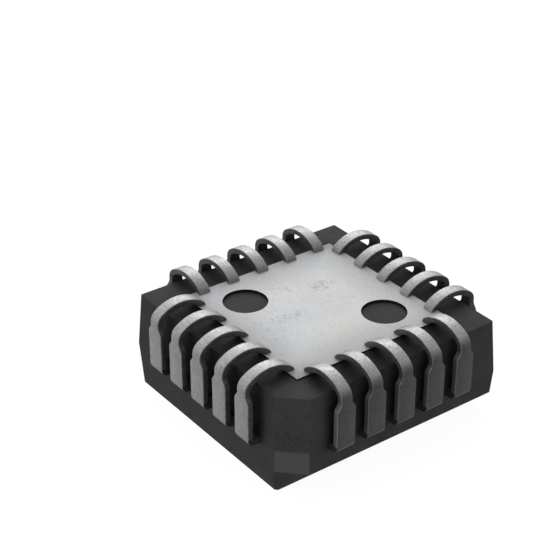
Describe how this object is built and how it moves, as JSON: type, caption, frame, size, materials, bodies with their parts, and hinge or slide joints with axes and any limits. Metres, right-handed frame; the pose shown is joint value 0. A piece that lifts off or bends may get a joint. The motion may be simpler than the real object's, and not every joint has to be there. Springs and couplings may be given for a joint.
{
  "type": "plcc chip",
  "caption": "Square moulded chip package lying on its flat top, with J-leads curled over the underside, a chamfered index corner, a bevelled edge and a light plate let into the underside.",
  "frame": {"origin": "middle of the leads' footprint, at the level of the package's flat top face, which lies down", "axes": "+Z out of the underside, away from the top face; +X out of the bevelled lead 1 side; the chamfered index corner is at +X, -Y"},
  "size_m": [0.0098, 0.0098, 0.0042],
  "materials": {
    "mould_compound": "fine matt, dark grey epoxy compound",
    "plate_ceramic": "satin, light grey ceramic, faintly mottled",
    "lead_tin": "satin tin plate",
    "leadframe_copper": "bare copper alloy",
    "attach_silver": "dull silver-filled adhesive",
    "die_silicon": "polished silicon",
    "wire_gold": "bright gold"
  },
  "bodies": {
    "root": {"mould_body": "mould_compound", "underside_plate": "plate_ceramic", "die_pad": "leadframe_copper", "die_attach": "attach_silver", "die": "die_silicon", "lead_01": "lead_tin", "lead_02": "lead_tin", "lead_03": "lead_tin", "lead_04": "lead_tin", "lead_05": "lead_tin", "lead_06": "lead_tin", "lead_07": "lead_tin", "lead_08": "lead_tin", "lead_09": "lead_tin", "lead_10": "lead_tin", "lead_11": "lead_tin", "lead_12": "lead_tin", "lead_13": "lead_tin", "lead_14": "lead_tin", "lead_15": "lead_tin", "lead_16": "lead_tin", "lead_17": "lead_tin", "lead_18": "lead_tin", "lead_19": "lead_tin", "lead_20": "lead_tin", "bond_wire_01": "wire_gold", "bond_wire_02": "wire_gold", "bond_wire_03": "wire_gold", "bond_wire_04": "wire_gold", "bond_wire_05": "wire_gold", "bond_wire_06": "wire_gold", "bond_wire_07": "wire_gold", "bond_wire_08": "wire_gold", "bond_wire_09": "wire_gold", "bond_wire_10": "wire_gold", "bond_wire_11": "wire_gold", "bond_wire_12": "wire_gold", "bond_wire_13": "wire_gold", "bond_wire_14": "wire_gold", "bond_wire_15": "wire_gold", "bond_wire_16": "wire_gold", "bond_wire_17": "wire_gold", "bond_wire_18": "wire_gold", "bond_wire_19": "wire_gold", "bond_wire_20": "wire_gold"}
  },
  "joints": []
}
